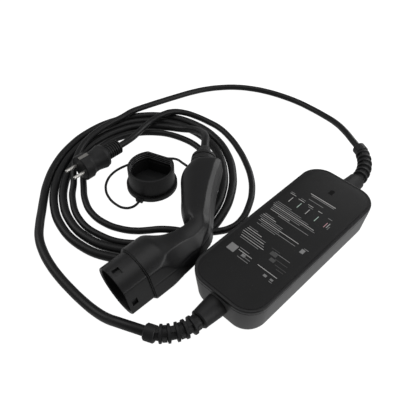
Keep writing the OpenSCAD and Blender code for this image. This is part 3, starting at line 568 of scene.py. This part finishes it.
def eased(rows, place):
    """The values of a ring at a place on the spine, on a smooth line through the given rows."""
    spans = len(rows) - 1
    index = max(number for number in range(spans) if rows[number][0] <= place)
    start, end = rows[index], rows[index + 1]
    before, after = rows[max(index - 1, 0)], rows[min(index + 2, spans)]
    span = end[0] - start[0]
    t = (place - start[0]) / span
    values = []
    for k in range(1, len(start)):
        rise_start = (end[k] - before[k]) / (end[0] - before[0]) * span
        rise_end = (after[k] - start[k]) / (after[0] - start[0]) * span
        values.append((2 * t ** 3 - 3 * t ** 2 + 1) * start[k] + (t ** 3 - 2 * t ** 2 + t) * rise_start
            + (3 * t ** 2 - 2 * t ** 3) * end[k] + (t ** 3 - t ** 2) * rise_end)
    return values


def turned(profile, place):
    """A solid of revolution about its own x axis from distances along it and radii, in millimetres."""
    bm = bmesh.new()
    points = [bm.verts.new(Vector((along, 0, radius)) * MM) for along, radius in profile]
    edges = [bm.edges.new(pair) for pair in zip(points, points[1:])]
    bmesh.ops.spin(bm, geom=points + edges, cent=(0, 0, 0), axis=(1, 0, 0), angle=2 * math.pi,
        steps=TURNED_SIDES, use_merge=True)
    bmesh.ops.remove_doubles(bm, verts=bm.verts, dist=CLOSE)
    bmesh.ops.recalc_face_normals(bm, faces=bm.faces)
    bmesh.ops.transform(bm, matrix=place, verts=bm.verts)
    return bm


def on_connector(point):
    """A point of the connector's own frame, in millimetres, in the shared frame in metres."""
    return (MOUTH + CONNECTOR_TURN.to_matrix() @ Vector(point)) * MM


def add_ring(bm, points):
    """Add a closed ring through points of the connector's frame and give back its edges."""
    ring = bmesh.ops.create_circle(bm, segments=len(points), radius=1.0)["verts"]
    for vert, point in zip(ring, points):
        vert.co = on_connector(point)
    return list(dict.fromkeys(edge for vert in ring for edge in vert.link_edges))


def d_ring(bm, along, inside):
    """Add a ring of the shroud at a distance from the mouth, set in from the shroud's skin."""
    points = []
    for turn in RING_TURNS:
        reach = SHROUD_RADIUS - inside
        if math.cos(turn) < 0:
            reach = min(reach, (SHROUD_FLAT - inside) / -math.cos(turn))
        points.append((along, reach * math.cos(turn), reach * math.sin(turn)))
    return add_ring(bm, points)


def join_rings(bm, rings):
    """Add the skin between each ring and the next."""
    for first, second in zip(rings, rings[1:]):
        bmesh.ops.bridge_loops(bm, edges=first + second)


class ChargerSizes(bpy.types.PropertyGroup):
    """Sizes that a user would change"""
    vehicle_cord: bpy.props.FloatProperty(name="Vehicle cord",
        description="Diameter of the cord to the car", default=0.012, unit="LENGTH")
    mains_cord: bpy.props.FloatProperty(name="Mains cord",
        description="Diameter of the cord to the wall", default=0.0095, unit="LENGTH")
    tether: bpy.props.FloatProperty(name="Tether",
        description="Diameter of the dust cap's tether", default=0.0036, unit="LENGTH")
    coil_start: bpy.props.FloatProperty(name="Coil start",
        description="Inner reach of the vehicle cord's coil", default=0.115, unit="LENGTH")
    coil_pitch: bpy.props.FloatProperty(name="Coil pitch",
        description="Distance between turns of the coil", default=0.0136, unit="LENGTH")
    coil_oval: bpy.props.FloatProperty(name="Coil oval",
        description="How far the coil is from round", default=0.07, subtype="FACTOR")
    box_corner: bpy.props.FloatProperty(name="Box corner",
        description="Corner radius of the control box, seen from above", default=0.028, unit="LENGTH")
    box_floor_edge: bpy.props.FloatProperty(name="Box floor edge",
        description="Radius of the control box's lower edge", default=0.013, unit="LENGTH")


class ChargerColours(bpy.types.PropertyGroup):
    """Colours that a user would change"""
    shell: bpy.props.FloatVectorProperty(name="Connector shell",
        description="Moulded shell of the connector", default=(0.0075, 0.0075, 0.008), subtype="COLOR")
    case: bpy.props.FloatVectorProperty(name="Box sides",
        description="Lower case of the control box", default=(0.06, 0.06, 0.061), subtype="COLOR")
    lid: bpy.props.FloatVectorProperty(name="Box lid",
        description="Frame around the face film", default=(0.009, 0.009, 0.0095), subtype="COLOR")
    film: bpy.props.FloatVectorProperty(name="Face film",
        description="Matt film on the control box", default=(0.008, 0.008, 0.0083), subtype="COLOR")
    rubber: bpy.props.FloatVectorProperty(name="Rubber",
        description="Strain reliefs, dust cap and plug", default=(0.012, 0.012, 0.0125), subtype="COLOR")
    cord: bpy.props.FloatVectorProperty(name="Cord",
        description="Jacket of both cords", default=(0.006, 0.006, 0.0064), subtype="COLOR")
    insert: bpy.props.FloatVectorProperty(name="Contact carrier",
        description="Insert that holds the contacts", default=(0.012, 0.012, 0.0125), subtype="COLOR")


class CHARGER_OT_camera(bpy.types.Operator):
    """Place the camera where the photograph was taken"""
    bl_idname = "charger.camera"
    bl_label = "Camera"

    def execute(self, context):
        lens = bpy.data.cameras.new("photo_camera")
        lens.lens = CAMERA_LENS
        lens.sensor_width = CAMERA_SENSOR
        camera = bpy.data.objects.new("photo_camera", lens)
        camera.location = CAMERA_PLACE * MM
        sight = CAMERA_AIM * MM - camera.location
        camera.rotation_euler = sight.to_track_quat("-Z", "Y").to_euler()
        context.scene.collection.objects.link(camera)
        context.scene.camera = camera
        context.scene.view_settings.view_transform = "Standard"
        return {"FINISHED"}


class CHARGER_OT_fittings(bpy.types.Operator):
    """Give the reliefs, seal, contacts, cap and plug smooth skins, and turn the ribs of the plug's tail"""
    bl_idname = "charger.fittings"
    bl_label = "Fittings"

    def execute(self, context):
        for node, (finish_name, slot) in OUTER_COPIES.items():
            bm = bmesh.new()
            bm.from_mesh(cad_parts[node].data)
            bmesh.ops.remove_doubles(bm, verts=bm.verts, dist=CLOSE)
            wear_piece(f"{node}_skin", bm, [finish_name], (node,), sharp=28)

        comb = []
        for number in range(PLUG_RIBS):
            start = (number - PLUG_RIBS) * 2 * PLUG_RIB_WIDTH
            end = start + PLUG_RIB_WIDTH
            comb += [(start, PLUG_RIB_FOOT), (start, PLUG_RIB_RADIUS)]
            comb += [(end, PLUG_RIB_RADIUS), (end, PLUG_RIB_FOOT)]
        comb = [(comb[0][0], 0.0), *comb, (comb[-1][0], 0.0)]
        ribs = turned(comb, Matrix.Translation(PLUG_EXIT * MM))
        wear_piece("plug_ribs", ribs, ["rubber"], sharp=34)
        return {"FINISHED"}


class CHARGER_OT_cords(bpy.types.Operator):
    """Lay the vehicle cord, the mains cord and the dust cap's tether"""
    bl_idname = "charger.cords"
    bl_label = "Cords"

    def execute(self, context):
        sizes = context.scene.charger_sizes
        way = BOX_EXIT_VEHICLE_WAY
        angles = range(COIL_OUTER_ANGLE, COIL_INNER_ANGLE, -COIL_ANGLE_STEP)
        route = [BOX_EXIT_VEHICLE - CORD_TUCK * way, BOX_EXIT_VEHICLE + VEHICLE_STRAIGHT * way]
        route += [*VEHICLE_TAIL, *[vehicle_wind(angle) for angle in angles], *VEHICLE_LEAD]
        route += [GLAND_EXIT + GLAND_STRAIGHT * HANDLE_WAY, GLAND_EXIT - CORD_TUCK * HANDLE_WAY]
        cord, length = lay_cord("vehicle_cord", route, sizes.vehicle_cord, "cord",
            ("vehicle_cord_lead", "vehicle_cord_tail", "cord_coil"))

        way = BOX_EXIT_MAINS_WAY
        route = [BOX_EXIT_MAINS - CORD_TUCK * way, BOX_EXIT_MAINS + MAINS_STRAIGHT * way]
        route += [*MAINS_LEAD, *[wound(*place) for place in MAINS_WIND], *MAINS_TAIL]
        route += [PLUG_EXIT + PLUG_STRAIGHT * PLUG_WAY, PLUG_EXIT - CORD_TUCK * PLUG_WAY]
        cord, length = lay_cord("mains_cord", route, sizes.mains_cord, "cord",
            ("mains_cord_lead", "mains_cord_tail"))

        route = [TETHER_START, *TETHER]
        cord, length = lay_cord("tether_loop", route, sizes.tether, "rubber",
            ("cap_tether",))
        return {"FINISHED"}


class CHARGER_OT_control_box(bpy.types.Operator):
    """Build the control box's case, lid and face film"""
    bl_idname = "charger.control_box"
    bl_label = "Control box"

    def execute(self, context):
        sizes = context.scene.charger_sizes
        corner = sizes.box_corner / MM
        tub = rounded_block(BOX_HALF_LENGTH, BOX_HALF_WIDTH, 0, TUB_TOP, corner)
        for vert in tub.verts:
            if vert.co.z < CLOSE:
                vert.co.x *= (BOX_HALF_LENGTH - TUB_DRAFT) / BOX_HALF_LENGTH
                vert.co.y *= (BOX_HALF_WIDTH - TUB_DRAFT) / BOX_HALF_WIDTH
        soften(tub, rim_edges(tub, 0), sizes.box_floor_edge / MM, segments=9)
        soften(tub, rim_edges(tub, TUB_TOP), TUB_RIM_EDGE, segments=3)
        wear_piece("case_tub", tub, ["case"], ("box_tub",), sharp=40)

        lid = rounded_block(BOX_HALF_LENGTH, BOX_HALF_WIDTH, LID_FOOT, LID_TOP, corner)
        soften(lid, rim_edges(lid, LID_TOP), LID_TOP_EDGE, segments=4)
        soften(lid, rim_edges(lid, LID_FOOT), LID_FOOT_EDGE, segments=2)
        top = [face for face in lid.faces if all(abs(v.co.z - LID_TOP * MM) < CLOSE for v in face.verts)]
        bmesh.ops.inset_region(lid, faces=top, thickness=LID_BORDER * MM, depth=0.0, use_even_offset=True)
        sunk = list({v for face in top for v in face.verts})
        bmesh.ops.translate(lid, verts=sunk, vec=(0, 0, -LID_RECESS * MM))
        wear_piece("case_lid", lid, ["lid"], ("box_lid",), sharp=40)

        film = rounded_block(BOX_HALF_LENGTH - FILM_MARGIN, BOX_HALF_WIDTH - FILM_MARGIN,
            LID_TOP - LID_RECESS, FILM_TOP, corner - FILM_MARGIN)
        soften(film, rim_edges(film, FILM_TOP), FILM_EDGE, segments=2)
        wear_piece("face_sheet", film, ["film"], ("face_film",), sharp=40)
        return {"FINISHED"}


class CHARGER_OT_face_print(bpy.types.Operator):
    """Lay the printed fields and the lamp window on the face"""
    bl_idname = "charger.face_print"
    bl_label = "Face print"

    def execute(self, context):
        bm = bmesh.new()
        for x, y, along_x, along_y, ink in PRINT_FIELDS:
            before = len(bm.faces)
            add_block(bm, (x, y, PRINT_HEIGHT), (along_x, along_y, PRINT_THICKNESS))
            bm.faces.ensure_lookup_table()
            for face in bm.faces[before:]:
                face.material_index = INKS.index(ink)
        wear_piece("face_print", bm, INKS)

        window = bmesh.new()
        bmesh.ops.create_circle(window, cap_ends=True, segments=LAMP_SIDES, radius=LAMP_RADIUS * MM,
            matrix=Matrix.Translation(LAMP_MIDDLE * MM))
        skirt = add_block(window, LAMP_SKIRT_MIDDLE, LAMP_SKIRT)
        flared = [v for v in skirt if v.co.x < LAMP_SKIRT_MIDDLE.x * MM]
        bmesh.ops.scale(window, verts=flared, vec=(1, LAMP_FLARE, 1),
            space=Matrix.Translation((0, -LAMP_SKIRT_MIDDLE.y * MM, 0)))
        disc = [face for face in window.faces if len(face.verts) == LAMP_SIDES]
        raised = bmesh.ops.extrude_face_region(window, geom=disc)["geom"]
        bmesh.ops.translate(window, verts=[v for v in raised if isinstance(v, bmesh.types.BMVert)],
            vec=(0, 0, LAMP_RAISE * MM))
        bmesh.ops.recalc_face_normals(window, faces=window.faces)
        wear_piece("lamp_window", window, ["guide"])
        return {"FINISHED"}


class CHARGER_OT_housing(bpy.types.Operator):
    """Loft the connector's housing and handle over its rings, and turn the collar at its end"""
    bl_idname = "charger.housing"
    bl_label = "Connector housing"

    def execute(self, context):
        places = []
        for (first, *_), (last, *_) in zip(HOUSING_RINGS, HOUSING_RINGS[1:]):
            steps = max(2, round((last - first) / RING_GAP))
            places += [first + (last - first) * k / steps for k in range(steps)]
        places.append(HOUSING_RINGS[-1][0])

        bm = bmesh.new()
        rings = []
        for number, along in enumerate([places[0], *places, places[-1]]):
            values = eased(HOUSING_RINGS, along)
            shrink = END_INSET if number in (0, len(places) + 1) else 0.0
            middle, heading = spine_point(along)
            points = []
            for step, turn in enumerate(RING_TURNS):
                reach = ring_reach(turn, *values) - shrink
                if step in (0, RING_SIDES // 2):
                    reach -= SEAM_DEPTH
                up = Vector((0, 0, reach * math.sin(turn)))
                points.append(middle + reach * math.cos(turn) * leftward(heading) + up)
            rings.append(add_ring(bm, points))
        join_rings(bm, rings)
        bmesh.ops.contextual_create(bm, geom=rings[-1])
        bmesh.ops.recalc_face_normals(bm, faces=bm.faces)
        wear_piece("connector_housing", bm, ["shell"],
            ("handle_shell_upper", "handle_shell_lower"), sharp=50)

        place, heading = spine_point(HANDLE_END)
        turn_in = CONNECTOR_TURN.to_matrix().to_4x4() @ Matrix.Rotation(heading, 4, "Z")
        collar = turned(COLLAR_PROFILE, Matrix.Translation(on_connector(place)) @ turn_in)
        wear_piece("handle_collar", collar, ["rubber"], ("cord_gland",), sharp=34)
        return {"FINISHED"}


class CHARGER_OT_shroud(bpy.types.Operator):
    """Build the D-shaped front shroud with its lock windows and the band behind them"""
    bl_idname = "charger.shroud"
    bl_label = "Connector shroud"

    def execute(self, context):
        bm = bmesh.new()
        rings = [d_ring(bm, 0.0, SHROUD_CHAMFER), d_ring(bm, SHROUD_LEAD_IN, 0.0)]
        for number in range(round(SHROUD_LENGTH / SHROUD_GAP)):
            rings.append(d_ring(bm, SHROUD_GAP * (number + 1), 0.0))
        join_rings(bm, rings)
        bmesh.ops.recalc_face_normals(bm, faces=bm.faces)
        back = CONNECTOR_TURN.to_matrix().inverted()
        cut = []
        for face in bm.faces:
            place = back @ (face.calc_center_median() / MM - MOUTH)
            for window in LOCK_WINDOWS:
                if all(low < value < high for low, value, high in zip(window[0], place, window[1])):
                    cut.append(face)
        bmesh.ops.delete(bm, geom=cut, context="FACES")
        bmesh.ops.solidify(bm, geom=bm.faces, thickness=SHROUD_WALL * MM)
        band = [d_ring(bm, along, inside) for along, inside in SHROUD_BAND]
        join_rings(bm, band + band[:1])
        bmesh.ops.recalc_face_normals(bm, faces=bm.faces)
        wear_piece("front_shroud", bm, ["shell"], ("connector_shroud",), sharp=34)
        return {"FINISHED"}


class CHARGER_OT_cap_lips(bpy.types.Operator):
    """Run the sealing lips around the inside of the dust cap"""
    bl_idname = "charger.cap_lips"
    bl_label = "Dust cap lips"

    def execute(self, context):
        for number, (height, inside) in enumerate(CAP_LIPS):
            name = f"cap_lip_{number}"
            # The lips wear the cap's rubber painted lighter, a painted highlight
            curve = round_curve(name, CAP_LIP_RADIUS * MM, "lip_painted_highlight", sides=3, steps=1)
            spline = curve.splines.new("POLY")
            spline.points.add(CAP_LIP_POINTS - 1)
            for step, knot in enumerate(spline.points):
                turn = 2 * math.pi * step / CAP_LIP_POINTS
                reach = inside
                lean = math.cos(turn - CAP_FLAT_TURN)
                if lean > 0:
                    reach = min(reach, (inside - CAP_FLAT_DEPTH) / lean)
                point = CAP_MIDDLE + Vector((reach * math.cos(turn), reach * math.sin(turn), height))
                knot.co = (*(point * MM), 1.0)
            spline.use_cyclic_u = True
            show(name, curve)
        return {"FINISHED"}


class CHARGER_OT_handle_cores(bpy.types.Operator):
    """Lead the cores from the contacts through the handle"""
    bl_idname = "charger.handle_cores"
    bl_label = "Handle cores"

    def execute(self, context):
        curve = round_curve("core_bundle", CORE_RADIUS * MM, "core", sides=3, steps=6)
        for number, (left, up) in enumerate(CORE_STARTS):
            places = [Vector((along, left, up)) for along in CORE_BEHIND]
            lift = Vector((0, 0, CORE_PITCH * (len(CORE_STARTS) // 2 - number)))
            for along, shift in CORE_LINE:
                middle, heading = spine_point(along)
                places.append(middle + shift * leftward(heading) + lift)
            add_line(curve, [on_connector(place) for place in places])
        show("core_bundle", curve, ("handle_cores",))
        return {"FINISHED"}


class CHARGER_OT_inner_parts(bpy.types.Operator):
    """Give the parts inside the box and the handle their finishes"""
    bl_idname = "charger.inner_parts"
    bl_label = "Inner parts"

    def execute(self, context):
        for node, finish_name in INNER_FINISHES.items():
            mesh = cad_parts[node].data
            mesh.materials.clear()
            mesh.materials.append(finishes()[finish_name])
        return {"FINISHED"}


class CHARGER_OT_stage(bpy.types.Operator):
    """Set the white floor, the soft lights and the bright surroundings"""
    bl_idname = "charger.stage"
    bl_label = "Stage"

    def execute(self, context):
        material, tree = new_tree("floor_white_finish")
        seen = add(tree, "ShaderNodeLightPath", out="Is Camera Ray")
        mirrored = seen.other("Is Glossy Ray")
        lit = add(tree, "ShaderNodeBsdfDiffuse", None, {"Color": FLOOR_GREY})
        glow = add(tree, "ShaderNodeEmission", None, {"Strength": seen + mirrored * FLOOR_MIRRORED})
        both = add(tree, "ShaderNodeAddShader", None, {0: lit, 1: glow})
        add(tree, "ShaderNodeOutputMaterial", None, {"Surface": both})
        bm = bmesh.new()
        bmesh.ops.create_grid(bm, x_segments=2, y_segments=2, size=FLOOR_HALF,
            matrix=Matrix.Translation((0, 0, -FLOOR_DROP)))
        mesh = bpy.data.meshes.new("studio_floor")
        bm.to_mesh(mesh)
        bm.free()
        mesh.materials.append(material)
        floor = bpy.data.objects.new("studio_floor", mesh)
        context.scene.collection.objects.link(floor)

        world = bpy.data.worlds.new("studio_surroundings")
        context.scene.world = world
        world.use_nodes = True
        tree = world.node_tree
        tree.nodes.clear()
        seen = add(tree, "ShaderNodeLightPath", out="Is Camera Ray")
        mirrored = seen.other("Is Glossy Ray")
        through = seen.other("Is Transmission Ray")
        strength = SKY_BASE + seen * SKY_SEEN + mirrored * SKY_MIRRORED + through * SKY_SEEN
        sky = add(tree, "ShaderNodeBackground", None, {"Color": (1.0, 1.0, 1.0, 1.0), "Strength": strength})
        add(tree, "ShaderNodeOutputWorld", None, {"Surface": sky})

        for name, place, aim, size, power in LIGHTS:
            lamp = bpy.data.lights.new(name, "AREA")
            lamp.size = size
            lamp.energy = power
            light = bpy.data.objects.new(name, lamp)
            light.location = place
            light.rotation_euler = (Vector(aim) - Vector(place)).to_track_quat("-Z", "Y").to_euler()
            context.scene.collection.objects.link(light)
        return {"FINISHED"}


class CHARGER_PT_panel(bpy.types.Panel):
    """The charger's making steps, sizes and colours"""
    bl_idname = "CHARGER_PT_panel"
    bl_label = "Portable EV charger"
    bl_space_type = "VIEW_3D"
    bl_region_type = "UI"
    bl_category = "Charger"

    def draw(self, context):
        for step in STEPS:
            self.layout.operator(step.bl_idname)
        for group in (context.scene.charger_sizes, context.scene.charger_colours):
            for key in group.__annotations__:
                self.layout.prop(group, key)


STEPS = (
    CHARGER_OT_camera, CHARGER_OT_fittings, CHARGER_OT_cords, CHARGER_OT_control_box,
    CHARGER_OT_face_print, CHARGER_OT_housing, CHARGER_OT_shroud, CHARGER_OT_cap_lips,
    CHARGER_OT_handle_cores, CHARGER_OT_inner_parts, CHARGER_OT_stage,
)
CLASSES = (ChargerSizes, ChargerColours, *STEPS, CHARGER_PT_panel)


def register():
    for item in CLASSES:
        bpy.utils.register_class(item)
    bpy.types.Scene.charger_sizes = bpy.props.PointerProperty(type=ChargerSizes)
    bpy.types.Scene.charger_colours = bpy.props.PointerProperty(type=ChargerColours)


def unregister():
    del bpy.types.Scene.charger_colours
    del bpy.types.Scene.charger_sizes
    for item in reversed(CLASSES):
        bpy.utils.unregister_class(item)


def main():
    register()
    bpy.ops.charger.camera()
    bpy.ops.charger.fittings()
    bpy.ops.charger.cords()
    bpy.ops.charger.control_box()
    bpy.ops.charger.face_print()
    bpy.ops.charger.housing()
    bpy.ops.charger.shroud()
    bpy.ops.charger.cap_lips()
    bpy.ops.charger.handle_cores()
    bpy.ops.charger.inner_parts()
    bpy.ops.charger.stage()


if __name__ == "__main__":
    main()
